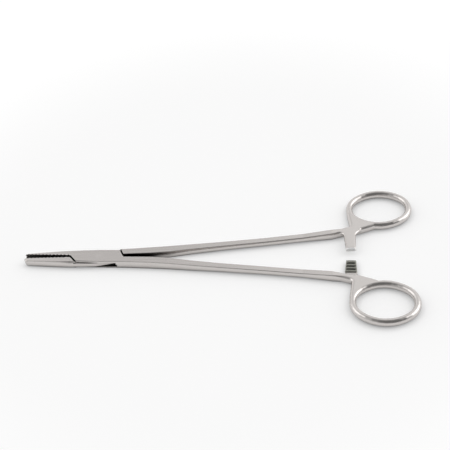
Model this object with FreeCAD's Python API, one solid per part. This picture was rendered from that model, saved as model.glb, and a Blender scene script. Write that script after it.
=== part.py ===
import FreeCAD, Part
import math
import os
from FreeCAD import Vector

# Surgical needle holder with a box lock and a ratchet.
# The jaws point to -X, the finger rings lie at +X, and the hinge pin stands on the Z axis.
# Both halves are drawn closed, and each is then turned by half of the rest opening.
# A place on a half is given by u, its distance along X from the pin, and v, its distance
# from the centre line, positive on the side where that half has its shank.

# Whole instrument
REST_OPENING = 3.5
BOX_THICKNESS = 4.6
MIDDLE = BOX_THICKNESS / 2
EDGE_MARGIN = 2.0
FAR = 60.0

# Box lock: distance from the pin, edge of the flat, and how far the side bulges beyond it
BOX_LEFT = -15.4
BOX_RIGHT = 12.4
LOCK_MARGIN = 3.4
BOX = [
    (BOX_LEFT, 3.20, 1.00),
    (-8.0, 3.68, 0.80),
    (0.0, 4.00, 0.55),
    (8.0, 4.05, 0.50),
    (BOX_RIGHT + LOCK_MARGIN, 4.05, 0.50),
]
BOX_SIDE = BOX[-1][1] + BOX[-1][2]
SHOULDER_GAP = 0.36
JAW_SHOULDER_RUN = 4.2
SHANK_SHOULDER_RUN = 2.5
SLOT_END_RUN = 4.8
SLOT_MOUTH_RUN = 3.3
FLANK_CLEARANCE = 0.15
FLANK_RELIEF = 0.8
FLANK_FLUSH = 4.0
TONGUE_THICKNESS = 2.5
PLATE_CLEARANCE = 0.05
PIN_RADIUS = 1.9
PIN_CLEARANCE = 0.05

# Jaws: distance from the pin, outer edge of the flat, bulge of the side, thickness
JAW = [
    (*BOX[0], BOX_THICKNESS),
    (-20.0, 2.98, 0.70, 4.5),
    (-28.0, 2.25, 0.60, 4.2),
    (-34.0, 1.70, 0.55, 3.9),
    (-40.0, 1.00, 0.50, 3.6),
]
JAW_TIP = JAW[-1][0]
JAW_LEAN = 0.85
JAW_ROOT_GAP = 0.36
JAW_TIP_GAP = 0.08
TIP_ROUND = 5.5
TIP_BREADTH = 2.0
NOSE_ROUND = 1.8
SERRATION_PITCH = 1.35
SERRATION_DEPTH = 0.36
SERRATION_START = -16.5

# Length of the shank from the pin, and the place of the ratchet bar beyond its end
SHANK_END = 124.5
BAR_BEYOND_SHANK = 2.8
BAR_U = SHANK_END + BAR_BEYOND_SHANK

# Finger ring
RING_BEYOND_BAR = 15.9
RING_U = BAR_U + RING_BEYOND_BAR
RING_V = 27.6
RING_LENGTH = 33.6
RING_BREADTH = 27.2
RING_BAND = 3.4
RING_THICKNESS = 4.2
RING_END_RADIUS = 10.1
BAND_END_RADIUS = 1.5
SPANS_PER_ARC = 8

# Stem: the flat web between shank, ring and ratchet bar, just below the crest of the ring
STEM_THICKNESS = RING_THICKNESS - 0.1
STEM_EDGE = 1.3
STEM_CORNER = 1.4
STEM_CORNER_U = BAR_U + 0.4
STEM_CORNER_V = RING_V - RING_BREADTH / 2 + 0.8

# Shank: distance from the pin, inner and outer edge of the flat, bulge of the sides, thickness
SHANK = [
    (BOX_RIGHT + 1.1, 0.65, *BOX[-1][1:], BOX_THICKNESS),
    (26.0, 0.62, 4.50, 0.45, 4.55),
    (36.0, 1.10, 4.98, 0.45, 4.35),
    (47.0, 2.50, 5.90, 0.45, 3.85),
    (62.0, 4.00, 6.95, 0.45, 3.3),
    (85.0, 6.00, 8.75, 0.45, 3.0),
    (104.0, 7.80, 10.55, 0.45, 3.0),
    (SHANK_END - 6.0, 9.30, 12.20, 0.55, STEM_THICKNESS + 0.06),
    (SHANK_END, 11.00, 12.70, 0.70, STEM_THICKNESS - 0.1),
]
SHANK_GAP = SHANK[0][1] - SHANK[0][3]

# Ratchet bar: the plan is centred on BAR_U, and the teeth start at the tip
BAR_TIP_WIDTH = 4.8
BAR_ROOT_WIDTH = 6.0
BAR_ROOT_V = 10.4
BAR_FLARE = 2.6
TONGUE_BAR_TIP = -2.3
BOX_BAR_TIP = -0.8
BAR_NOSE = 0.8
BAR_EDGE = 0.45
TOOTH_COUNT = 4
TOOTH_PITCH = 2.03
TOOTH_DEPTH = 0.75
TOOTH_LAND = 0.3
TOOTH_CLEARANCE = 0.05


def plan_prism(points, low, high):
    """Solid with a straight-sided outline in plan, between two heights."""
    corners = [Vector(x, y, low) for x, y in points]
    wire = Part.makePolygon(corners + corners[:1])
    return Part.Face(wire).extrude(Vector(0, 0, high - low))


def full_height(points):
    """Cutting solid with an outline in plan that passes right through both halves."""
    return plan_prism(points, -EDGE_MARGIN, BOX_THICKNESS + EDGE_MARGIN)


def section(u, inner, outer, bulge, thickness, side, flat_inner=False):
    """Cross-section of a blade at u: flat top and underside, and sides that bulge out."""
    top = MIDDLE + thickness / 2
    bottom = MIDDLE - thickness / 2
    inner_top = Vector(u, side * inner, top)
    outer_top = Vector(u, side * outer, top)
    outer_bottom = Vector(u, side * outer, bottom)
    inner_bottom = Vector(u, side * inner, bottom)
    outer_side = Vector(u, side * (outer + bulge), MIDDLE)
    inner_side = Vector(u, side * (inner - bulge), MIDDLE)
    if flat_inner:
        closing = Part.LineSegment(inner_bottom, inner_top)
    else:
        closing = Part.Arc(inner_bottom, inner_side, inner_top)
    return Part.Wire([
        Part.LineSegment(inner_top, outer_top).toShape(),
        Part.Arc(outer_top, outer_side, outer_bottom).toShape(),
        Part.LineSegment(outer_bottom, inner_bottom).toShape(),
        closing.toShape(),
    ])


def blade(sections):
    """Solid through cross-sections, straight from each to the next."""
    return Part.makeLoft(sections, True, True)


def box_block():
    """Blank of the box, as wide as both halves together and slimmer towards the jaws."""
    return blade([section(u, -flat, flat, bulge, BOX_THICKNESS, 1) for u, flat, bulge in BOX])


def jaw_gap(u):
    """Half of the gap between the closed jaws, which meet first at their tips."""
    share = (u - JAW_TIP) / (BOX_LEFT - JAW_TIP)
    return (JAW_TIP_GAP + share * (JAW_ROOT_GAP - JAW_TIP_GAP)) / 2


def gripping_face(u, side):
    """Place of a jaw's gripping face; both faces lean together towards the far side."""
    share = (BOX_LEFT - u) / (BOX_LEFT - JAW_TIP)
    return jaw_gap(u) + side * JAW_LEAN * share


def jaw(side):
    """Tapered jaw with a flat gripping face, rounded at its tip in plan and from the side."""
    blank = blade([section(u, gripping_face(u, side), *form, side, True) for u, *form in JAW])
    lean = side * JAW_LEAN
    breadth = TIP_BREADTH - lean
    tip = Vector(JAW_TIP, side * lean, 0)
    turn = Vector(JAW_TIP + TIP_ROUND, side * TIP_BREADTH, 0)
    between = Vector(JAW_TIP + 0.22 * TIP_ROUND, side * (lean + 0.62 * breadth), 0)
    back = Vector(BOX_LEFT + EDGE_MARGIN, side * 2 * BOX_SIDE, 0)
    heel = Vector(BOX_LEFT + EDGE_MARGIN, -side * EDGE_MARGIN, 0)
    nose = Vector(JAW_TIP, -side * EDGE_MARGIN, 0)
    outline = Part.Wire([
        Part.Arc(tip, between, turn).toShape(),
        Part.LineSegment(turn, back).toShape(),
        Part.LineSegment(back, heel).toShape(),
        Part.LineSegment(heel, nose).toShape(),
        Part.LineSegment(nose, tip).toShape(),
    ])
    plan = Part.Face(outline).extrude(Vector(0, 0, BOX_THICKNESS))
    half_tip = JAW[-1][-1] / 2
    low = Vector(JAW_TIP + NOSE_ROUND, -2 * BOX_SIDE, MIDDLE - half_tip)
    front = Vector(JAW_TIP, -2 * BOX_SIDE, MIDDLE)
    high = Vector(JAW_TIP + NOSE_ROUND, -2 * BOX_SIDE, MIDDLE + half_tip)
    low_back = Vector(BOX_LEFT + EDGE_MARGIN, -2 * BOX_SIDE, -EDGE_MARGIN)
    high_back = Vector(BOX_LEFT + EDGE_MARGIN, -2 * BOX_SIDE, BOX_THICKNESS + EDGE_MARGIN)
    elevation = Part.Wire([
        Part.Arc(low, front, high).toShape(),
        Part.LineSegment(high, high_back).toShape(),
        Part.LineSegment(high_back, low_back).toShape(),
        Part.LineSegment(low_back, low).toShape(),
    ])
    nose_form = Part.Face(elevation).extrude(Vector(0, 4 * BOX_SIDE, 0))
    return blank.common(plan).common(nose_form).cut(serrations(side))


def serrations(side):
    """Crossed V grooves, at 45 degrees both ways, that cut the gripping face into small pyramids."""
    step = SERRATION_PITCH * math.sqrt(2)
    count = int((SERRATION_START - JAW_TIP + BOX_THICKNESS) / step)
    grooves = []
    for i in range(count):
        u = SERRATION_START - i * step
        face = side * gripping_face(u, side)
        for slope in (45, -45):
            vee = Part.makePolygon([
                Vector(-SERRATION_DEPTH, face, 0),
                Vector(0, face + side * SERRATION_DEPTH, 0),
                Vector(SERRATION_DEPTH, face, 0),
                Vector(0, face - side * SERRATION_DEPTH, 0),
                Vector(-SERRATION_DEPTH, face, 0),
            ])
            groove = Part.Face(vee).extrude(Vector(0, 0, 3 * BOX_THICKNESS))
            groove.translate(Vector(0, 0, -1.5 * BOX_THICKNESS))
            groove.rotate(Vector(0, 0, 0), Vector(0, 1, 0), slope)
            groove.translate(Vector(u, 0, MIDDLE))
            grooves.append(groove)
    return grooves


def shank(side):
    """Tapering shank from the box to the stem, with the straight stretch beside the box."""
    root = (BOX[-2][0], *SHANK[0][1:])
    return blade([section(*station, side) for station in [root, *SHANK]])


def oval_arcs(long_half, short_half, end_radius):
    """Arcs of an oval: centre along and across, radius, first and last angle of each."""
    reach = long_half - end_radius
    squares = long_half**2 + short_half**2
    flank_radius = (squares - 2 * long_half * end_radius) / (2 * (short_half - end_radius))
    drop = flank_radius - short_half
    turn = math.atan2(drop, reach)
    half = math.pi
    return [
        (reach, 0, end_radius, -turn, turn),
        (0, -drop, flank_radius, turn, half - turn),
        (-reach, 0, end_radius, half - turn, half + turn),
        (0, drop, flank_radius, half + turn, 2 * half - turn),
    ]


def oval_wire(centre, along, across, arcs):
    """Closed wire of an oval in the plane of two directions."""
    edges = []
    for forth, sideways, radius, first, last in arcs:
        middle = centre + along * forth + across * sideways
        turns = (first, (first + last) / 2, last)
        places = [middle + (along * math.cos(t) + across * math.sin(t)) * radius for t in turns]
        edges.append(Part.Arc(*places).toShape())
    return Part.Wire(edges)


def ring_arcs():
    """Arcs of the oval that runs along the middle of the ring's band."""
    return oval_arcs((RING_LENGTH - RING_BAND) / 2, (RING_BREADTH - RING_BAND) / 2, RING_END_RADIUS)


def ring(side):
    """Oval finger ring: the oval section of its band, taken round in short steps."""
    up = Vector(0, 0, 1)
    band_arcs = oval_arcs(RING_THICKNESS / 2, RING_BAND / 2, BAND_END_RADIUS)
    sections = []
    for forth, sideways, radius, first, last in ring_arcs():
        pivot = Vector(RING_U + forth, side * RING_V + sideways, MIDDLE)
        for i in range(SPANS_PER_ARC):
            angle = first + (last - first) * i / SPANS_PER_ARC
            outward = Vector(math.cos(angle), math.sin(angle), 0)
            sections.append(oval_wire(pivot + outward * radius, up, outward, band_arcs))
    return Part.makeLoft(sections + sections[:1], True, True)


def inside_band(side):
    """Solid that fills the ring up to the middle of its band, at full height."""
    centre = Vector(RING_U, side * RING_V, -EDGE_MARGIN)
    edge = oval_wire(centre, Vector(1, 0, 0), Vector(0, 1, 0), ring_arcs())
    return Part.Face(edge).extrude(Vector(0, 0, BOX_THICKNESS + 2 * EDGE_MARGIN))


def stem(side):
    """Flat web that joins the shank to the ring, with rounded edges."""
    left = RING_U - RING_LENGTH / 2
    crest = RING_V - RING_BREADTH / 2 + RING_BAND / 2
    start = SHANK[-2]
    outline = [
        (start[0] + 1, start[1] + 0.3),
        (BAR_U + BAR_ROOT_WIDTH / 2 + 0.8, start[1] + 1.8),
        (RING_U - 1.4 * RING_BAND, crest - 2.0),
        (RING_U, crest),
        (RING_U, RING_V),
        (left + RING_BAND / 2, RING_V + 2),
        (left + 0.2, RING_V - 3.1),
        (STEM_CORNER_U, STEM_CORNER_V),
        (start[0] + 1, start[2]),
    ]
    low = MIDDLE - STEM_THICKNESS / 2
    plate = plan_prism([(u, side * v) for u, v in outline], low, low + STEM_THICKNESS)
    corner = Vector(STEM_CORNER_U, side * STEM_CORNER_V, MIDDLE)
    plate = plate.makeFillet(STEM_CORNER, upright_edges(plate, corner))
    return plate.makeFillet(STEM_EDGE, level_edges(plate)).cut(inside_band(side))


def level_edges(solid):
    """Edges of a solid that lie level."""
    return [edge for edge in solid.Edges if edge.BoundBox.ZLength < 0.01]


def upright_edges(solid, place):
    """Vertical edges of a solid that stand at a place in plan."""
    found = []
    for edge in solid.Edges:
        middle = edge.CenterOfMass
        if edge.BoundBox.ZLength > 1 and (middle.x - place.x) ** 2 + (middle.y - place.y) ** 2 < 0.01:
            found.append(edge)
    return found


def bar_plan(tip, side):
    """Outline of a ratchet bar in plan, widening in a curve where it leaves the stem."""
    half_tip = BAR_TIP_WIDTH / 2
    half_root = BAR_ROOT_WIDTH / 2
    foot = BAR_ROOT_V - BAR_FLARE
    rim = BAR_ROOT_V + 1
    points = {
        "tip_low": (BAR_U - half_tip, tip),
        "tip_high": (BAR_U + half_tip, tip),
        "neck_high": (BAR_U + half_root, foot),
        "bend_high": (BAR_U + half_root + 0.3 * BAR_FLARE, foot + 0.7 * BAR_FLARE),
        "foot_high": (BAR_U + half_root + BAR_FLARE, BAR_ROOT_V + 0.6),
        "rim_high": (BAR_U + half_root + BAR_FLARE, rim + 1),
        "rim_low": (BAR_U - half_root - BAR_FLARE, rim),
        "foot_low": (BAR_U - half_root - BAR_FLARE, BAR_ROOT_V - 0.5),
        "bend_low": (BAR_U - half_root - 0.3 * BAR_FLARE, foot + 0.6 * BAR_FLARE),
        "neck_low": (BAR_U - half_root, foot - 0.4),
    }
    at = {name: Vector(u, side * v, -EDGE_MARGIN) for name, (u, v) in points.items()}
    wire = Part.Wire([
        Part.LineSegment(at["tip_low"], at["tip_high"]).toShape(),
        Part.LineSegment(at["tip_high"], at["neck_high"]).toShape(),
        Part.Arc(at["neck_high"], at["bend_high"], at["foot_high"]).toShape(),
        Part.LineSegment(at["foot_high"], at["rim_high"]).toShape(),
        Part.LineSegment(at["rim_high"], at["rim_low"]).toShape(),
        Part.LineSegment(at["rim_low"], at["foot_low"]).toShape(),
        Part.Arc(at["foot_low"], at["bend_low"], at["neck_low"]).toShape(),
        Part.LineSegment(at["neck_low"], at["tip_low"]).toShape(),
    ])
    return Part.Face(wire).extrude(Vector(0, 0, BOX_THICKNESS + 2 * EDGE_MARGIN))


def ratchet_bar(tip, side, layer):
    """Ratchet bar in the upper layer (1) or lower layer (-1), with teeth on its inner face."""
    crest = TOOTH_CLEARANCE
    root = crest + TOOTH_DEPTH
    back = STEM_THICKNESS / 2
    profile = [(tip + BAR_NOSE, back), (tip, root)]
    for i in range(TOOTH_COUNT):
        start = tip + i * TOOTH_PITCH
        profile.append((start + TOOTH_PITCH - TOOTH_LAND, crest))
        profile.append((start + TOOTH_PITCH, crest))
        profile.append((start + TOOTH_PITCH, root))
    profile.append((BAR_ROOT_V + 2, root))
    profile.append((BAR_ROOT_V + 2, back))
    start_u = BAR_U - BAR_ROOT_WIDTH - BAR_FLARE
    corners = [Vector(start_u, side * v, MIDDLE + layer * height) for v, height in profile]
    wire = Part.makePolygon(corners + corners[:1])
    width = 2 * (BAR_U - start_u)
    bar = Part.Face(wire).extrude(Vector(width, 0, 0)).common(bar_plan(tip, side))
    level = MIDDLE + layer * back
    rim = [edge for edge in level_edges(bar) if abs(edge.CenterOfMass.z - level) < 0.01]
    outer = [edge for edge in rim if abs(edge.CenterOfMass.y) < BAR_ROOT_V + 0.9]
    return bar.makeChamfer(BAR_EDGE, outer)


def far_end(side, bar_tip, layer):
    """Shank, stem, finger ring and ratchet bar of one half."""
    body = shank(side).fuse([stem(side), ring(side), ratchet_bar(bar_tip, side, layer)])
    return body


def shoulder_region(is_jaw, gap):
    """Everything beyond the slanted shoulder of the box, on the jaw side or the shank side."""
    if is_jaw:
        corner = (BOX_LEFT - gap, JAW_ROOT_GAP / 2)
        run = JAW_SHOULDER_RUN
        away = -1
    else:
        corner = (BOX_RIGHT + gap, -SHANK_GAP)
        run = -SHANK_SHOULDER_RUN
        away = 1
    drop = away * (BOX_SIDE + abs(corner[1]))
    reach = 2
    low = (corner[0] + reach * run, corner[1] + reach * drop)
    high = (corner[0] - reach * run, corner[1] - reach * drop)
    beyond = away * BOX_SIDE * 40
    return full_height([low, high, (high[0] + beyond, high[1]), (low[0] + beyond, low[1])])


def slot_space(clearance):
    """Outline in plan of the space between the two solid ends of the slot."""
    left = BOX_LEFT + clearance * 1.4
    right = BOX_RIGHT - clearance * 1.2
    climb = BOX_SIDE - JAW_ROOT_GAP / 2
    dive = BOX_SIDE - SHANK_GAP
    return [
        (left - SLOT_END_RUN, JAW_ROOT_GAP / 2 - climb),
        (left + 1.4 * SLOT_END_RUN, JAW_ROOT_GAP / 2 + 1.4 * climb),
        (right + 1.4 * SLOT_MOUTH_RUN, 1.4 * climb),
        (right + 1.4 * SLOT_MOUTH_RUN, 1.4 * dive - SHANK_GAP),
        (right - 1.4 * SLOT_MOUTH_RUN, -1.4 * dive - SHANK_GAP),
        (left - SLOT_END_RUN, -1.4 * dive),
    ]


def tongue():
    """Thin tongue that passes through the slot, with its flanks eased at the slot's ends."""
    low = MIDDLE - TONGUE_THICKNESS / 2
    blank = plan_prism(slot_space(FLANK_CLEARANCE), low, low + TONGUE_THICKNESS)
    blank = blank.common(box_block())
    for turn in (1, -1):
        relief = [
            (-turn * FLANK_FLUSH, -turn * (BOX_SIDE + 0.05)),
            (turn * BOX_RIGHT, -turn * (BOX_SIDE + 0.05)),
            (turn * BOX_RIGHT, -turn * (BOX_SIDE - FLANK_RELIEF * 1.4)),
        ]
        blank = blank.cut(full_height(relief))
    return blank


def box_half():
    """Half with the far jaw, the box, the near shank and the lower ratchet bar."""
    shank_side = -1
    shaft = far_end(shank_side, BOX_BAR_TIP, -1)
    lock = box_block()
    lock = lock.cut(jaw_quarter(0))
    lock = lock.cut(shoulder_region(False, 0))
    body = jaw(-shank_side).fuse([lock, shaft])
    low = MIDDLE - TONGUE_THICKNESS / 2 - PLATE_CLEARANCE
    high = MIDDLE + TONGUE_THICKNESS / 2 + PLATE_CLEARANCE
    body = body.cut(plan_prism(slot_space(0), low, high))
    return body.cut(Part.makeCylinder(PIN_RADIUS, BOX_THICKNESS))


def jaw_quarter(gap):
    """Region of the near jaw's shoulder, below the gap between the jaws."""
    beyond = full_height([
        (JAW_TIP - EDGE_MARGIN, JAW_ROOT_GAP / 2 - gap),
        (BOX_RIGHT, JAW_ROOT_GAP / 2 - gap),
        (BOX_RIGHT, -2 * BOX_SIDE),
        (JAW_TIP - EDGE_MARGIN, -2 * BOX_SIDE),
    ])
    return shoulder_region(True, gap).common(beyond)


def tongue_half():
    """Half with the near jaw, the tongue, the far shank and the upper ratchet bar."""
    shank_side = 1
    shaft = far_end(shank_side, TONGUE_BAR_TIP, 1)
    shaft = shaft.common(shoulder_region(False, SHOULDER_GAP).fuse(beyond_lock()))
    heel = box_block().common(jaw_quarter(SHOULDER_GAP)).cut(above_gap())
    body = jaw(-shank_side).fuse([heel, tongue(), shaft])
    return body.cut(Part.makeCylinder(PIN_RADIUS + PIN_CLEARANCE, BOX_THICKNESS))


def beyond_lock():
    """Region of everything from the end of the box to the finger rings."""
    reach = RING_U + RING_LENGTH
    start = BOX_RIGHT + LOCK_MARGIN - 0.4
    return full_height([(start, -FAR), (reach, -FAR), (reach, FAR), (start, FAR)])


def above_gap():
    """Region on the far side of the gripping faces."""
    edge = -JAW_ROOT_GAP / 2
    return full_height([(JAW_TIP, edge), (0, edge), (0, FAR), (JAW_TIP, FAR)])


pieces = {
    "box_half": box_half(),
    "tongue_half": tongue_half(),
    "hinge_pin": Part.makeCylinder(PIN_RADIUS, BOX_THICKNESS),
}
turns = {"box_half": -REST_OPENING / 2, "tongue_half": REST_OPENING / 2, "hinge_pin": 0}

os.makedirs("parts", exist_ok=True)
for name, solid in pieces.items():
    solid = solid.removeSplitter()
    solid.rotate(Vector(0, 0, 0), Vector(0, 0, 1), turns[name])
    print(name, solid.isValid(), len(solid.Solids), round(solid.Volume, 1), solid.BoundBox)
    solid.exportStep("parts/" + name + ".step")
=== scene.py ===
"""Studio scene of a surgical needle holder: satin steel on a plain white table."""

import logging
import math
from dataclasses import dataclass, replace
from enum import Enum

import bpy
from mathutils import Matrix, Vector


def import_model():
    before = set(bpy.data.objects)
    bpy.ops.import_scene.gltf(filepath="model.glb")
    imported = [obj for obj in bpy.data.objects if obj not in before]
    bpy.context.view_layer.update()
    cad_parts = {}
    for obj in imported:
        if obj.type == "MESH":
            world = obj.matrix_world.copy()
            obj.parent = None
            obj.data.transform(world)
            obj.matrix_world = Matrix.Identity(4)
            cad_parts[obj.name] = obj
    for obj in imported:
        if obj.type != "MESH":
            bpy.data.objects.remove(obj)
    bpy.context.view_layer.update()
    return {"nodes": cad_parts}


LOG = logging.getLogger("needle_holder")

Colour = tuple[float, float, float]
Point = tuple[float, float, float]
Span = tuple[float, float]
Socket = bpy.types.NodeSocket

MM = 0.001
# Limits that leave one side open: farther than the instrument reaches, and more than a lean can be
FAR = 1.0
ANY_LEAN = 1.1
# Where the jaws end and the box of the lock begins, along the instrument
JAW_HEEL = -15.4 * MM


class NodeSheet:
    """Shader nodes of one tree, added and linked from code."""

    def __init__(self, tree: bpy.types.NodeTree) -> None:
        """Opens the tree that the nodes go into."""
        self.tree = tree
        self.nodes = tree.nodes

    def add(self, kind: str, **values: str | int | bpy.types.NodeTree) -> bpy.types.Node:
        """Adds a node and sets its properties.

        Args:
            kind: Blender's name of the node type.
            **values: Properties of the node.

        Returns:
            The new node.
        """
        node = self.nodes.new(kind)
        for key, value in values.items():
            setattr(node, key, value)
        return node

    def link(self, source: Socket, target: Socket) -> None:
        """Links an output to an input."""
        self.tree.links.new(source, target)

    def feed(self, value: Socket | float, target: Socket) -> None:
        """Gives an input its value.

        Args:
            value: Output socket, or a plain number.
            target: Input socket.
        """
        if isinstance(value, Socket):
            self.link(value, target)
        else:
            target.default_value = value

    def math(self, operation: str, *values: Socket | float) -> Socket:
        """Adds a math node on sockets or numbers.

        Args:
            operation: Blender's name of the operation.
            *values: Sockets or numbers, as many as the operation takes.

        Returns:
            The result socket.
        """
        node = self.add("ShaderNodeMath", operation=operation)
        for socket, value in zip(node.inputs, values):
            self.feed(value, socket)
        return node.outputs[0]

    def product(self, *values: Socket) -> Socket:
        """Multiplies shares with each other.

        Args:
            *values: The shares.

        Returns:
            Their product.
        """
        total = values[0]
        for value in values[1:]:
            total = self.math("MULTIPLY", total, value)
        return total

    def largest(self, *values: Socket) -> Socket:
        """Finds the largest of some shares.

        Args:
            *values: The shares.

        Returns:
            The largest one.
        """
        top = values[0]
        for value in values[1:]:
            top = self.math("MAXIMUM", top, value)
        return top

    def between(self, value: Socket, low: float, high: float) -> Socket:
        """Gives one where a value lies between two limits, and zero elsewhere."""
        half = (high - low) / 2
        return self.math("COMPARE", value, low + half, half)

    def fade(self, value: Socket, start: float, end: float) -> Socket:
        """Fades from zero to one as a value goes from start to end.

        Args:
            value: The value that is followed.
            start: Where the result is zero.
            end: Where the result is one.

        Returns:
            The faded share.
        """
        node = self.add("ShaderNodeMapRange", interpolation_type="SMOOTHSTEP")
        node.inputs["From Min"].default_value = start
        node.inputs["From Max"].default_value = end
        self.link(value, node.inputs["Value"])
        return node.outputs["Result"]

    def place(self) -> Socket:
        """Gives the place of the shaded point, in the object's own frame."""
        return self.add("ShaderNodeTexCoord").outputs["Object"]

    def split(self, vector: Socket) -> tuple[Socket, Socket, Socket]:
        """Takes a vector apart.

        Args:
            vector: The vector.

        Returns:
            Its X, Y and Z.
        """
        parts = self.add("ShaderNodeSeparateXYZ")
        self.link(vector, parts.inputs[0])
        return parts.outputs["X"], parts.outputs["Y"], parts.outputs["Z"]

    def openness(self, reach: Socket | float, samples: int) -> Socket:
        """Tells how open the surroundings of the shaded point are.

        Args:
            reach: How far away a covering face still counts, in metres.
            samples: How many directions are tried.

        Returns:
            One in the open, and less the more is covered.
        """
        cover = self.add("ShaderNodeAmbientOcclusion", samples=samples)
        self.feed(reach, cover.inputs["Distance"])
        return cover.outputs["AO"]


class Kind(Enum):
    """What a socket of a node group carries, by Blender's name."""

    VALUE = "NodeSocketFloat"
    VECTOR = "NodeSocketVector"


class GroupSheet(NodeSheet):
    """Shader nodes of a new node group with named sockets."""

    def __init__(self, name: str, takes: dict[str, Kind], gives: dict[str, Kind]) -> None:
        """Makes the group and its sockets.

        Args:
            name: Name of the group.
            takes: Name and kind of each input.
            gives: Name and kind of each output.
        """
        super().__init__(bpy.data.node_groups.new(name, "ShaderNodeTree"))
        for way, sockets in (("INPUT", takes), ("OUTPUT", gives)):
            for label, kind in sockets.items():
                self.tree.interface.new_socket(label, in_out=way, socket_type=kind.value)
        self.taken = self.add("NodeGroupInput").outputs
        self.given = self.add("NodeGroupOutput").inputs


class Grain(Enum):
    """Direction of the brush marks, as how often they change in a metre along X, Y and Z."""

    LENGTHWISE = (150.0, 6000.0, 6000.0)
    EVEN = (5000.0, 5000.0, 5000.0)


@dataclass(frozen=True)
class SteelFinish:
    """How one kind of steel surface looks.

    Attributes:
        name: Name of the material.
        colour: Base colour, linear RGB.
        roughness: Mean roughness of the surface.
        variation: How far the roughness strays from its mean along the grain.
        scratch_height: Height of the brush marks, in metres.
        grain: Direction of the brush marks.
        edge_radius: How far the polish has rounded the edges, in metres.
        streak_colour: Colour of the duller brush streaks, linear RGB.
        painted_shade_colour: Colour of the painted shade deep in gaps and corners, on the painted dark
            rim at the table and in the painted-shade gaps of the jaws and lock, linear RGB.
        painted_shade_reach: Width up to which a gap counts as deep enough for painted shade, in metres.
        teeth_colour: Darker colour laid on the teeth of the ratchet, linear RGB.
        painted_reflection_colour: Near-white painted reflection of the table, laid on the end of the
            upper bar, linear RGB.
        painted_reflection_roughness: Roughness of that end.
    """

    name: str
    colour: Colour
    roughness: float
    variation: float
    scratch_height: float
    grain: Grain
    edge_radius: float
    streak_colour: Colour
    painted_shade_colour: Colour
    painted_shade_reach: float
    teeth_colour: Colour
    painted_reflection_colour: Colour
    painted_reflection_roughness: float


SATIN = SteelFinish(
    name="satin_steel",
    colour=(0.665, 0.632, 0.612),
    roughness=0.20,
    variation=0.06,
    scratch_height=0.002 * MM,
    grain=Grain.LENGTHWISE,
    edge_radius=0.5 * MM,
    streak_colour=(0.628, 0.595, 0.575),
    painted_shade_colour=(0.030, 0.028, 0.026),
    painted_shade_reach=3.5 * MM,
    teeth_colour=(0.470, 0.470, 0.425),
    painted_reflection_colour=(0.980, 0.975, 0.970),
    painted_reflection_roughness=0.65,
)
PIN = replace(
    SATIN,
    name="pin_steel",
    roughness=0.24,
    variation=0.05,
    scratch_height=0.001 * MM,
    grain=Grain.EVEN,
)


@dataclass(frozen=True)
class Spot:
    """Point of the instrument that is shaded, as sockets of one node group.

    Attributes:
        along: Place along the instrument, from the hinge pin towards the rings.
        across: Place across the instrument.
        height: Height above the table.
        lean_x: How far the face looks along the instrument.
        lean_y: How far the face looks across it.
        lean_z: How far the face looks up.
        steep: One on faces that look sideways and zero on flat ones.
    """

    along: Socket
    across: Socket
    height: Socket
    lean_x: Socket
    lean_y: Socket
    lean_z: Socket
    steep: Socket


@dataclass(frozen=True)
class Jaws:
    """Painted shade on the gripping faces, which are painted dark in the gap while the jaws are nearly
    closed.

    Attributes:
        heel: Where the jaws end, along the instrument, in metres.
        line_slope: How the middle of the gap leans across the instrument towards the tip.
        gap_half: Half the width of the dark zone at the heel, in metres.
        gap_slope: How that half grows towards the tip.
        reach: How far away a covering face still counts, in metres.
        closed: How open the surroundings are where the dark begins, and where it is full.
        samples: How many directions are tried for that.
    """

    heel: float = JAW_HEEL
    line_slope: float = 0.0346
    gap_half: float = 1.05 * MM
    gap_slope: float = 0.0248
    reach: float = 3.5 * MM
    closed: Span = (0.88, 0.68)
    samples: int = 12

    def dark(self, sheet: NodeSheet, spot: Spot) -> Socket:
        """Finds the faces in the gap, which get painted shade.

        Args:
            sheet: Where the nodes go.
            spot: The shaded point.

        Returns:
            One on faces deep in the gap and zero elsewhere.
        """
        past_heel = sheet.math("MULTIPLY_ADD", spot.along, -1.0, self.heel)
        middle = sheet.math("MULTIPLY", past_heel, self.line_slope)
        off_line = sheet.math("ABSOLUTE", sheet.math("SUBTRACT", spot.across, middle))
        half = sheet.math("MULTIPLY_ADD", past_heel, self.gap_slope, self.gap_half)
        in_gap = sheet.math("LESS_THAN", off_line, half)
        closed = sheet.fade(sheet.openness(self.reach, self.samples), *self.closed)
        return sheet.product(in_gap, sheet.between(past_heel, 0.0, FAR), spot.steep, closed)


@dataclass(frozen=True)
class GapLine:
    """Straight gap across the top of the lock, whose edges get painted shade.

    Attributes:
        start: One end in plan, in metres.
        end: Other end in plan, in metres.
        half: Half the width of the dark line, in metres.
    """

    start: Span
    end: Span
    half: float

    def dark(self, sheet: NodeSheet, spot: Spot) -> Socket:
        """Finds the places close to the gap.

        Args:
            sheet: Where the nodes go.
            spot: The shaded point.

        Returns:
            One close to the gap and zero elsewhere.
        """
        (x0, y0), (x1, y1) = self.start, self.end
        length = math.hypot(x1 - x0, y1 - y0)
        step_x, step_y = (x1 - x0) / length, (y1 - y0) / length
        from_x = sheet.math("SUBTRACT", spot.along, x0)
        from_y = sheet.math("SUBTRACT", spot.across, y0)
        run = sheet.math("MULTIPLY_ADD", from_x, step_x, sheet.math("MULTIPLY", from_y, step_y))
        off = sheet.math("MULTIPLY_ADD", from_x, -step_y, sheet.math("MULTIPLY", from_y, step_x))
        return sheet.product(sheet.between(run, 0.0, length), sheet.between(off, -self.half, self.half))


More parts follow.
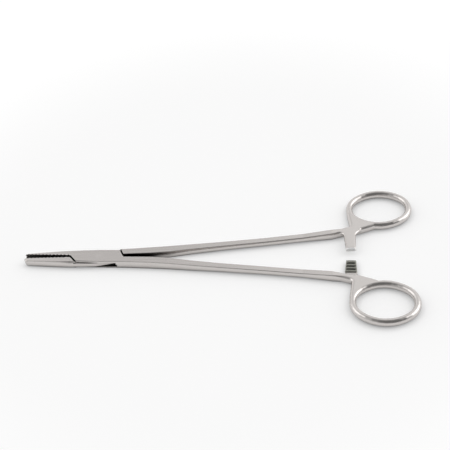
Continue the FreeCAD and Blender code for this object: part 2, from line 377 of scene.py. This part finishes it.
@dataclass(frozen=True)
class BoxLock:
    """Box lock, with painted shade in the gaps round the tongue that passes through the box. Lengths are
    in metres.

    Attributes:
        heel: Where the box begins, along the instrument.
        throat_half: Half the width of the faces with painted shade inside the lock and between the
            shanks.
        throat_full: Where those faces start to grow lighter behind the lock.
        throat_end: Where they are as light as the rest.
        slot_floor: Height of the slot's lower edge.
        slot_top: Height of the slot's upper edge.
        slot_mouth: Where the slot opens, along the instrument.
        recess_start: Where the tongue begins to lie deeper in the slot.
        recess_slope: How fast the top of that recess rises towards the mouth.
        recess_top: Height that this top would have over the hinge pin.
        seam_half: Half the width of the painted shade along each edge of the slot.
        seam_start: Where both seams begin.
        upper_seam: Where the seam along the upper edge has faded out, and where it starts to fade.
        lower_seam: The same for the seam along the lower edge.
        gap_lines: Gaps between the shoulders, in front of the box and behind it.
    """

    heel: float = JAW_HEEL
    throat_half: float = 2.9 * MM
    throat_full: float = 14.0 * MM
    throat_end: float = 44.0 * MM
    slot_floor: float = 0.98 * MM
    slot_top: float = 3.62 * MM
    slot_mouth: float = 9.6 * MM
    recess_start: float = -4.0 * MM
    recess_slope: float = 0.125
    recess_top: float = 1.5 * MM
    seam_half: float = 0.24 * MM
    seam_start: float = -13.0 * MM
    upper_seam: Span = (0.0, -6.0 * MM)
    lower_seam: Span = (9.4 * MM, 4.0 * MM)
    gap_lines: tuple[GapLine, ...] = (
        GapLine(start=(-15.5 * MM, 0.35 * MM), end=(-12.2 * MM, -3.6 * MM), half=0.50 * MM),
        GapLine(start=(10.1 * MM, 4.6 * MM), end=(12.6 * MM, -0.2 * MM), half=0.45 * MM),
    )

    def throat(self, sheet: NodeSheet, spot: Spot) -> Socket:
        """Finds the faces inside the lock and between the shanks behind it, which get painted shade.

        Args:
            sheet: Where the nodes go.
            spot: The shaded point.

        Returns:
            One in the lock, fading to zero between the shanks.
        """
        return sheet.product(
            sheet.between(sheet.math("ABSOLUTE", spot.across), -FAR, self.throat_half),
            sheet.fade(spot.along, self.throat_end, self.throat_full),
            spot.steep,
            sheet.between(spot.along, self.heel, self.throat_end),
        )

    def recess(self, sheet: NodeSheet, spot: Spot) -> Socket:
        """Finds the side of the tongue where it lies deep in the slot and gets painted shade.

        Args:
            sheet: Where the nodes go.
            spot: The shaded point.

        Returns:
            One in the recess and zero elsewhere.
        """
        below_top = sheet.math("MULTIPLY_ADD", spot.along, -self.recess_slope, spot.height)
        return sheet.product(
            sheet.between(below_top, -FAR, self.recess_top),
            sheet.between(spot.height, self.slot_floor, self.slot_top),
            sheet.between(spot.along, self.recess_start, self.slot_mouth),
            sheet.between(spot.across, -FAR, -self.throat_half),
            spot.steep,
        )

    def seams(self, sheet: NodeSheet, spot: Spot) -> list[Socket]:
        """Finds the seams where the edges of the slot meet the tongue, which get painted shade.

        Args:
            sheet: Where the nodes go.
            spot: The shaded point.

        Returns:
            For each seam, one along it and zero elsewhere.
        """
        shares = []
        for level, (start, end) in ((self.slot_top, self.upper_seam), (self.slot_floor, self.lower_seam)):
            seam = sheet.product(
                sheet.between(spot.height, level - self.seam_half, level + self.seam_half),
                sheet.between(spot.along, self.seam_start, start),
                spot.steep,
                sheet.fade(spot.along, start, end),
            )
            shares.append(seam)
        return shares

    def dark(self, sheet: NodeSheet, spot: Spot) -> Socket:
        """Finds all places of the lock that get painted shade.

        Args:
            sheet: Where the nodes go.
            spot: The shaded point.

        Returns:
            One in the dark places and zero elsewhere.
        """
        lines = [line.dark(sheet, spot) for line in self.gap_lines]
        seams = self.seams(sheet, spot)
        return sheet.largest(self.throat(sheet, spot), self.recess(sheet, spot), *lines, *seams)


@dataclass(frozen=True)
class Ratchet:
    """The two ratchet bars, each with its cut teeth. Lengths are in metres.

    Attributes:
        along: Where the bars lie along the instrument.
        lower_top: Height below which the lower bar is cut.
        lower_across: Where its teeth lie across the instrument.
        lower_lean: How far its teeth look up, least and most.
        upper_top: Height below which the upper bar is cut.
        upper_across: Where its teeth lie across the instrument.
        upper_lean: How far its teeth look up, least and most.
        upper_turn: How far its teeth look along the instrument, least and most.
        end_across: Where the end of the upper bar, with its painted reflection, lies across the
            instrument.
        end_lean: How far that end looks across the instrument, least and most.
    """

    along: Span = (123.8 * MM, 130.6 * MM)
    lower_top: float = 2.4 * MM
    lower_across: Span = (-11.4 * MM, -2.8 * MM)
    lower_lean: Span = (-0.5, ANY_LEAN)
    upper_top: float = 3.3 * MM
    upper_across: Span = (2.0 * MM, 11.4 * MM)
    upper_lean: Span = (-ANY_LEAN, 0.3)
    upper_turn: Span = (-0.5, 0.5)
    end_across: Span = (0.5 * MM, 3.0 * MM)
    end_lean: Span = (-ANY_LEAN, -0.4)

    def teeth(self, sheet: NodeSheet, spot: Spot) -> Socket:
        """Finds the cut teeth, on top of the lower bar and under the upper one.

        Args:
            sheet: Where the nodes go.
            spot: The shaded point.

        Returns:
            One on the teeth and zero elsewhere.
        """
        lower = sheet.product(
            sheet.between(spot.height, -FAR, self.lower_top),
            sheet.between(spot.across, *self.lower_across),
            sheet.between(spot.lean_z, *self.lower_lean),
        )
        upper = sheet.product(
            sheet.between(spot.height, -FAR, self.upper_top),
            sheet.between(spot.across, *self.upper_across),
            sheet.between(spot.lean_z, *self.upper_lean),
            sheet.between(spot.lean_x, *self.upper_turn),
        )
        return sheet.product(sheet.largest(lower, upper), sheet.between(spot.along, *self.along))

    def painted_reflection(self, sheet: NodeSheet, spot: Spot) -> Socket:
        """Finds the end of the upper bar, with its chamfer, which gets a painted reflection.

        Args:
            sheet: Where the nodes go.
            spot: The shaded point.

        Returns:
            One on that end and zero elsewhere.
        """
        return sheet.product(
            sheet.between(spot.along, *self.along),
            sheet.between(spot.across, *self.end_across),
            sheet.between(spot.lean_y, *self.end_lean),
        )


@dataclass(frozen=True)
class PaintedLightAndTeeth:
    """Painted shade in gaps, darker teeth of the ratchet, and a painted reflection on the end of the
    upper bar.

    Attributes:
        jaws: The gripping faces.
        lock: The box lock.
        ratchet: The ratchet bars.
        flat: How far a face looks up or down before it no longer counts as steep.
    """

    jaws: Jaws = Jaws()
    lock: BoxLock = BoxLock()
    ratchet: Ratchet = Ratchet()
    flat: float = 0.93

    def group(self) -> bpy.types.NodeTree:
        """Builds the node group.

        Returns:
            The group: shares of painted shade, darker ratchet teeth and the painted reflection on the bar
                end out.
        """
        sheet = GroupSheet("painted_light_and_teeth", {}, dict.fromkeys(("PaintedShade", "Teeth", "PaintedReflection"), Kind.VALUE))
        along, across, height = sheet.split(sheet.place())
        surface = sheet.add("ShaderNodeNewGeometry")
        lean_x, lean_y, lean_z = sheet.split(surface.outputs["True Normal"])
        spot = Spot(
            along=along,
            across=across,
            height=height,
            lean_x=lean_x,
            lean_y=lean_y,
            lean_z=lean_z,
            steep=sheet.between(lean_z, -self.flat, self.flat),
        )
        # Painted shade: the gaps of the jaws and of the lock
        deep = sheet.largest(self.jaws.dark(sheet, spot), self.lock.dark(sheet, spot))
        sheet.link(deep, sheet.given["PaintedShade"])
        sheet.link(self.ratchet.teeth(sheet, spot), sheet.given["Teeth"])
        sheet.link(self.ratchet.painted_reflection(sheet, spot), sheet.given["PaintedReflection"])
        return sheet.tree


@dataclass(frozen=True)
class BrushMarks:
    """Fine marks and broad streaks that brushing left in the steel.

    Attributes:
        detail: How many finer layers each pattern has.
        broad_scale: How often the streaks change, as a share of the fine marks.
        streaks: Pattern values at which a streak begins, and where it is full.
        ends: Where the streaks have ended before the rings and where they are full, along
            the instrument, in metres.
    """

    detail: float = 3.0
    broad_scale: float = 0.22
    streaks: Span = (0.30, 0.70)
    ends: Span = (118.0 * MM, 95.0 * MM)

    def pattern(self, sheet: NodeSheet, place: Socket, scale: float) -> Socket:
        """Adds one pattern of marks.

        Args:
            sheet: Where the nodes go.
            place: Place of the shaded point, stretched along the grain.
            scale: How often the marks change.

        Returns:
            The pattern, from zero to one.
        """
        noise = sheet.add("ShaderNodeTexNoise", noise_dimensions="3D")
        noise.inputs["Scale"].default_value = scale
        noise.inputs["Detail"].default_value = self.detail
        sheet.link(place, noise.inputs["Vector"])
        return noise.outputs["Fac"]

    def group(self) -> bpy.types.NodeTree:
        """Builds the node group.

        Returns:
            The group: stretch of the marks in, height and tone of the marks out.
        """
        gives = {"Height": Kind.VALUE, "Tone": Kind.VALUE}
        sheet = GroupSheet("brushed_grain", {"Stretch": Kind.VECTOR}, gives)
        place = sheet.place()
        stretched = sheet.add("ShaderNodeVectorMath", operation="MULTIPLY")
        sheet.link(place, stretched.inputs[0])
        sheet.link(sheet.taken["Stretch"], stretched.inputs[1])
        sheet.link(self.pattern(sheet, stretched.outputs[0], 1.0), sheet.given["Height"])
        broad = self.pattern(sheet, stretched.outputs[0], self.broad_scale)
        along, _, _ = sheet.split(place)
        tone = sheet.product(sheet.fade(broad, *self.streaks), sheet.fade(along, *self.ends))
        sheet.link(tone, sheet.given["Tone"])
        return sheet.tree


@dataclass(frozen=True)
class PolishedEdges:
    """Edges as polishing rounds them, most on the rings and not round the pin.

    Attributes:
        pin: Distances from the hinge pin's axis where the rounding begins and where it is full,
            in metres.
        rings: Where the edges grow rounder, from and to, along the instrument, in metres.
        ring_gain: How much larger the radius then gets, as a share of it.
        samples: How many directions are tried for the rounding.
    """

    pin: Span = (2.4 * MM, 4.0 * MM)
    rings: Span = (112.0 * MM, 128.0 * MM)
    ring_gain: float = 1.6
    samples: int = 8

    def group(self) -> bpy.types.NodeTree:
        """Builds the node group.

        Returns:
            The group: radius in, normal out.
        """
        sheet = GroupSheet("polished_edges", {"Radius": Kind.VALUE}, {"Normal": Kind.VECTOR})
        along, across, _ = sheet.split(sheet.place())
        plan = sheet.add("ShaderNodeCombineXYZ")
        sheet.link(along, plan.inputs["X"])
        sheet.link(across, plan.inputs["Y"])
        from_pin = sheet.add("ShaderNodeVectorMath", operation="LENGTH")
        sheet.link(plan.outputs[0], from_pin.inputs[0])
        clear = sheet.fade(from_pin.outputs["Value"], *self.pin)
        rounder = sheet.math("MULTIPLY_ADD", sheet.fade(along, *self.rings), self.ring_gain, 1.0)
        bevel = sheet.add("ShaderNodeBevel", samples=self.samples)
        sheet.link(sheet.product(sheet.taken["Radius"], clear, rounder), bevel.inputs["Radius"])
        sheet.link(bevel.outputs["Normal"], sheet.given["Normal"])
        return sheet.tree


@dataclass(frozen=True)
class Crevices:
    """Painted shade in gaps and corners, and a painted dark rim where the steel stands on the table.

    Attributes:
        covered: How open the surroundings are where the dark begins, and where it is full.
        samples: How many directions are tried for that.
        flat: How far a face looks up or down before it has no dark rim.
        foot: Heights above the table where the rim begins and where it is full, in metres.
        foot_share: How dark the rim is.
    """

    covered: Span = (0.52, 0.26)
    samples: int = 12
    flat: float = 0.95
    foot: Span = (1.3 * MM, 0.5 * MM)
    foot_share: float = 0.45

    def group(self) -> bpy.types.NodeTree:
        """Builds the node group.

        Returns:
            The group: reach of the cover in, darkness of the painted shade out.
        """
        sheet = GroupSheet("crevice", {"Reach": Kind.VALUE}, {"Darkness": Kind.VALUE})
        gap = sheet.fade(sheet.openness(sheet.taken["Reach"], self.samples), *self.covered)
        _, _, height = sheet.split(sheet.place())
        surface = sheet.add("ShaderNodeNewGeometry")
        _, _, lean_z = sheet.split(surface.outputs["Normal"])
        upright = sheet.between(lean_z, -self.flat, self.flat)
        foot = sheet.product(sheet.fade(height, *self.foot), upright)
        rim = sheet.math("MULTIPLY", foot, self.foot_share)
        sheet.link(sheet.largest(gap, rim), sheet.given["Darkness"])
        return sheet.tree


class SteelShop:
    """Makes and keeps the steel materials."""

    def __init__(self) -> None:
        """Builds the node groups that all steels share."""
        self.grain = BrushMarks().group()
        self.crevice = Crevices().group()
        self.painted_and_teeth = PaintedLightAndTeeth().group()
        self.edge = PolishedEdges().group()
        self.made: dict[str, bpy.types.Material] = {}

    def coat(self, sheet: NodeSheet, below: Socket | Colour, colour: Colour, share: Socket) -> Socket:
        """Lays a colour over what lies below it.

        Args:
            sheet: Where the nodes go.
            below: Colour below, as a socket or plain.
            colour: Colour of the coat.
            share: Where the coat covers.

        Returns:
            The colour on top.
        """
        mix = sheet.add("ShaderNodeMix", data_type="RGBA")
        if isinstance(below, Socket):
            sheet.link(below, mix.inputs["A"])
        else:
            mix.inputs["A"].default_value = (*below, 1.0)
        mix.inputs["B"].default_value = (*colour, 1.0)
        sheet.link(share, mix.inputs["Factor"])
        return mix.outputs["Result"]

    def material(self, finish: SteelFinish) -> bpy.types.Material:
        """Gives the material of a finish, and builds it the first time.

        Args:
            finish: The surface that is wanted.

        Returns:
            The material.
        """
        if finish.name in self.made:
            return self.made[finish.name]
        material = bpy.data.materials.new(finish.name)
        material.use_nodes = True
        sheet = NodeSheet(material.node_tree)
        shader = sheet.nodes["Principled BSDF"]
        shader.inputs["Metallic"].default_value = 1.0
        gap = sheet.add("ShaderNodeGroup", node_tree=self.crevice)
        gap.inputs["Reach"].default_value = finish.painted_shade_reach
        marks = sheet.add("ShaderNodeGroup", node_tree=self.grain)
        marks.inputs["Stretch"].default_value = finish.grain.value
        painted_and_teeth = sheet.add("ShaderNodeGroup", node_tree=self.painted_and_teeth)
        dark = sheet.largest(gap.outputs["Darkness"], painted_and_teeth.outputs["PaintedShade"])
        colour = self.coat(sheet, finish.colour, finish.streak_colour, marks.outputs["Tone"])
        # The teeth of the ratchet are laid darker
        colour = self.coat(sheet, colour, finish.teeth_colour, painted_and_teeth.outputs["Teeth"])
        # Painted shade: gaps, corners, the foot rim and the gaps of the jaws and lock are darkened
        colour = self.coat(sheet, colour, finish.painted_shade_colour, dark)
        # Painted reflection: the end of the upper bar is laid near white, as the mirrored table
        colour = self.coat(sheet, colour, finish.painted_reflection_colour, painted_and_teeth.outputs["PaintedReflection"])
        sheet.link(colour, shader.inputs["Base Color"])
        swing = 2 * finish.variation
        least = finish.roughness - finish.variation
        rough = sheet.add("ShaderNodeMix", data_type="FLOAT")
        sheet.link(sheet.math("MULTIPLY_ADD", marks.outputs["Height"], swing, least), rough.inputs["A"])
        rough.inputs["B"].default_value = finish.painted_reflection_roughness
        sheet.link(painted_and_teeth.outputs["PaintedReflection"], rough.inputs["Factor"])
        sheet.link(rough.outputs["Result"], shader.inputs["Roughness"])
        edge = sheet.add("ShaderNodeGroup", node_tree=self.edge)
        edge.inputs["Radius"].default_value = finish.edge_radius
        bump = sheet.add("ShaderNodeBump")
        bump.inputs["Strength"].default_value = 1.0
        bump.inputs["Distance"].default_value = finish.scratch_height
        sheet.link(marks.outputs["Height"], bump.inputs["Height"])
        sheet.link(edge.outputs["Normal"], bump.inputs["Normal"])
        sheet.link(bump.outputs["Normal"], shader.inputs["Normal"])
        self.made[finish.name] = material
        return material


@dataclass(frozen=True)
class Side:
    """Side of the instrument that moves as one, with the finish of each of its pieces.

    Attributes:
        name: What the side is called.
        finishes: Name of each piece, and its finish.
    """

    name: str
    finishes: dict[str, SteelFinish]

    def dress(self, nodes: dict[str, bpy.types.Object], shop: SteelShop) -> None:
        """Gives every piece its steel.

        Args:
            nodes: The CAD pieces by name.
            shop: Maker of the materials.
        """
        for piece, finish in self.finishes.items():
            mesh = nodes[piece].data
            mesh.materials.clear()
            mesh.materials.append(shop.material(finish))
            LOG.info("%s: dressed %s, %d faces", self.name, piece, len(mesh.polygons))


SIDES = (
    Side(name="box side", finishes={"box_half": SATIN, "hinge_pin": PIN}),
    Side(name="tongue side", finishes={"tongue_half": SATIN}),
)


@dataclass(frozen=True)
class Table:
    """White table under the instrument, which grows lighter away from it.

    Attributes:
        size: Length of its sides, in metres.
        drop: How far it lies below the instrument, so that no two faces lie in one plane, in metres.
        colour: Grey of the matt surface.
        lift: Brightness that is added for the camera, close to the instrument.
        far_lift: Further brightness that is added far from it.
        middle: Place that this distance is measured from, in metres.
        far: Distances where the further brightness begins and where it is full, in metres.
        shade_reach: How far away steel still shades the added brightness, in metres.
        shade: How much of it the camera sees shaded.
        mirrored: Share of it that the steel mirrors.
        samples: How many directions are tried for the shade.
    """

    size: float = 6.0
    drop: float = 0.02 * MM
    colour: float = 0.55
    lift: float = 0.495
    far_lift: float = 0.09
    middle: Point = (60.0 * MM, 20.0 * MM, 0.0)
    far: Span = (110.0 * MM, 260.0 * MM)
    shade_reach: float = 3.0 * MM
    shade: float = 0.55
    mirrored: float = 0.86
    samples: int = 8

    def brightness(self, sheet: NodeSheet) -> Socket:
        """Works out the added brightness.

        Args:
            sheet: Where the nodes go.

        Returns:
            The brightness, for the camera and for what the steel mirrors.
        """
        away = sheet.add("ShaderNodeVectorMath", operation="DISTANCE")
        sheet.link(sheet.place(), away.inputs[0])
        away.inputs[1].default_value = self.middle
        far = sheet.fade(away.outputs["Value"], *self.far)
        # Painted light: the table's glow grows brighter far from the instrument
        level = sheet.math("MULTIPLY_ADD", far, self.far_lift, self.lift)
        ray = sheet.add("ShaderNodeLightPath")
        # Painted shadow: the added glow is dimmed where steel covers the table, for the camera and in
        # what the steel mirrors
        clear = sheet.openness(self.shade_reach, self.samples)
        shaded = sheet.math("MULTIPLY_ADD", clear, self.shade, 1.0 - self.shade)
        direct = sheet.product(ray.outputs["Is Camera Ray"], shaded)
        mirrored = sheet.product(ray.outputs["Is Glossy Ray"], clear)
        seen = sheet.math("MULTIPLY_ADD", mirrored, self.mirrored, direct)
        return sheet.product(seen, level)

    def material(self) -> bpy.types.Material:
        """Makes the matt white of the table.

        Returns:
            The material.
        """
        material = bpy.data.materials.new("white_table")
        material.use_nodes = True
        sheet = NodeSheet(material.node_tree)
        sheet.nodes.remove(sheet.nodes["Principled BSDF"])
        matt = sheet.add("ShaderNodeBsdfDiffuse")
        matt.inputs["Color"].default_value = (self.colour, self.colour, self.colour, 1.0)
        glow = sheet.add("ShaderNodeEmission")
        sheet.link(self.brightness(sheet), glow.inputs["Strength"])
        both = sheet.add("ShaderNodeAddShader")
        sheet.link(matt.outputs[0], both.inputs[0])
        sheet.link(glow.outputs[0], both.inputs[1])
        sheet.link(both.outputs[0], sheet.nodes["Material Output"].inputs["Surface"])
        return material

    def lay(self) -> None:
        """Lays the table under the instrument."""
        bpy.ops.mesh.primitive_plane_add(size=self.size, location=(0.0, 0.0, -self.drop))
        table = bpy.context.active_object
        table.name = "table"
        table.data.materials.append(self.material())
        LOG.info("table laid, %.1f m wide", self.size)


@dataclass(frozen=True)
class Glow:
    """One patch of the light tent, brighter or darker than what lies round it.

    Attributes:
        azimuth: Bearing of the patch's middle, from +Y towards +X, in degrees.
        elevation: Height of the patch's middle above the table, in degrees.
        core: Angle from the middle within which the patch is even, in degrees.
        rim: Angle from the middle at which the patch has faded out, in degrees.
        level: Brightness of the patch.
    """

    azimuth: float
    elevation: float
    core: float
    rim: float
    level: float

    def aim(self) -> Point:
        """Works out where the patch's middle is.

        Returns:
            Its direction, as a unit vector.
        """
        bearing = math.radians(self.azimuth)
        rise = math.radians(self.elevation)
        return (
            math.cos(rise) * math.sin(bearing),
            math.cos(rise) * math.cos(bearing),
            math.sin(rise),
        )


@dataclass(frozen=True)
class LightTent:
    """White light tent round the table.

    Attributes:
        level: Brightness of the tent between its patches.
        patches: The patches, each laid over those before it.
    """

    level: float = 0.92
    patches: tuple[Glow, ...] = (
        Glow(azimuth=0.0, elevation=90.0, core=5.0, rim=40.0, level=0.48),
        Glow(azimuth=-17.0, elevation=43.0, core=2.0, rim=12.0, level=0.66),
        Glow(azimuth=-150.0, elevation=20.0, core=30.0, rim=60.0, level=0.66),
        Glow(azimuth=155.0, elevation=45.0, core=28.0, rim=60.0, level=0.18),
        Glow(azimuth=-92.0, elevation=35.0, core=10.0, rim=32.0, level=1.65),
        Glow(azimuth=80.0, elevation=34.0, core=16.0, rim=38.0, level=2.05),
    )

    def patch_group(self) -> bpy.types.NodeTree:
        """Builds the node group that lays one patch over the tent.

        Returns:
            The group: direction, aim, limits and levels in, brightness out.
        """
        takes = dict.fromkeys(("Direction", "Aim"), Kind.VECTOR)
        takes |= dict.fromkeys(("Rim", "Core", "Level", "Below"), Kind.VALUE)
        sheet = GroupSheet("tent_patch", takes, {"Brightness": Kind.VALUE})
        near = sheet.add("ShaderNodeVectorMath", operation="DOT_PRODUCT")
        sheet.link(sheet.taken["Direction"], near.inputs[0])
        sheet.link(sheet.taken["Aim"], near.inputs[1])
        share = sheet.add("ShaderNodeMapRange", interpolation_type="SMOOTHSTEP")
        sheet.link(near.outputs["Value"], share.inputs["Value"])
        sheet.link(sheet.taken["Rim"], share.inputs["From Min"])
        sheet.link(sheet.taken["Core"], share.inputs["From Max"])
        blend = sheet.add("ShaderNodeMix", data_type="FLOAT")
        sheet.link(share.outputs["Result"], blend.inputs["Factor"])
        sheet.link(sheet.taken["Below"], blend.inputs["A"])
        sheet.link(sheet.taken["Level"], blend.inputs["B"])
        sheet.link(blend.outputs["Result"], sheet.given["Brightness"])
        return sheet.tree

    def hang(self) -> None:
        """Surrounds the scene with the tent."""
        world = bpy.data.worlds.new("light_tent")
        bpy.context.scene.world = world
        world.use_nodes = True
        sheet = NodeSheet(world.node_tree)
        direction = sheet.add("ShaderNodeTexCoord").outputs["Generated"]
        group = self.patch_group()
        below = self.level
        for glow in self.patches:
            patch = sheet.add("ShaderNodeGroup", node_tree=group)
            sheet.link(direction, patch.inputs["Direction"])
            patch.inputs["Aim"].default_value = glow.aim()
            patch.inputs["Rim"].default_value = math.cos(math.radians(glow.rim))
            patch.inputs["Core"].default_value = math.cos(math.radians(glow.core))
            patch.inputs["Level"].default_value = glow.level
            sheet.feed(below, patch.inputs["Below"])
            below = patch.outputs["Brightness"]
        sheet.link(below, sheet.nodes["Background"].inputs["Color"])
        LOG.info("light tent hung, %d patches", len(self.patches))


@dataclass(frozen=True)
class Viewpoint:
    """Camera of the photograph, in the part's own frame.

    Attributes:
        target: Point that the camera looks at, in metres.
        distance: Distance from the target, in metres.
        azimuth: Turn of the camera towards +X from straight in front, in degrees.
        elevation: Height of the camera above the table, in degrees.
        roll: Turn of the camera about its own axis, in degrees.
        lens: Focal length, in millimetres.
        sensor: Width of the frame that the focal length is for, in millimetres.
        clip: Nearest and farthest distance that the camera shows, in metres.
    """

    target: Point = (62.36 * MM, 25.38 * MM, 0.0)
    distance: float = 478.5 * MM
    azimuth: float = 9.43
    elevation: float = 43.45
    roll: float = -7.68
    lens: float = 72.86
    sensor: float = 36.0
    clip: Span = (0.01, 20.0)

    def axes(self) -> tuple[Vector, Vector, Vector]:
        """Works out how the camera is turned.

        Returns:
            Directions to the right of the picture, to its top and back towards the camera.
        """
        yaw = math.radians(self.azimuth)
        rise = math.radians(self.elevation)
        turn = math.radians(self.roll)
        back = Vector(
            (
                math.sin(yaw) * math.cos(rise),
                -math.cos(yaw) * math.cos(rise),
                math.sin(rise),
            )
        )
        right = (-back).cross(Vector((0, 0, 1))).normalized()
        up = right.cross(-back)
        across = math.cos(turn) * right + math.sin(turn) * up
        upward = -math.sin(turn) * right + math.cos(turn) * up
        return across, upward, back

    def set_up(self) -> None:
        """Sets up the camera."""
        across, upward, back = self.axes()
        data = bpy.data.cameras.new("camera")
        data.sensor_width = self.sensor
        data.lens = self.lens
        data.clip_start, data.clip_end = self.clip
        camera = bpy.data.objects.new("camera", data)
        bpy.context.scene.collection.objects.link(camera)
        place = Vector(self.target) + self.distance * back
        turned = Matrix((across, upward, back)).transposed().to_4x4()
        camera.matrix_world = Matrix.Translation(place) @ turned
        bpy.context.scene.camera = camera


def main() -> None:
    """Builds the whole scene."""
    logging.basicConfig(level=logging.INFO)
    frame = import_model()
    shop = SteelShop()
    for side in SIDES:
        side.dress(frame["nodes"], shop)
    Table().lay()
    LightTent().hang()
    Viewpoint().set_up()
    bpy.context.scene.view_settings.view_transform = "Standard"


if __name__ == "__main__":
    main()
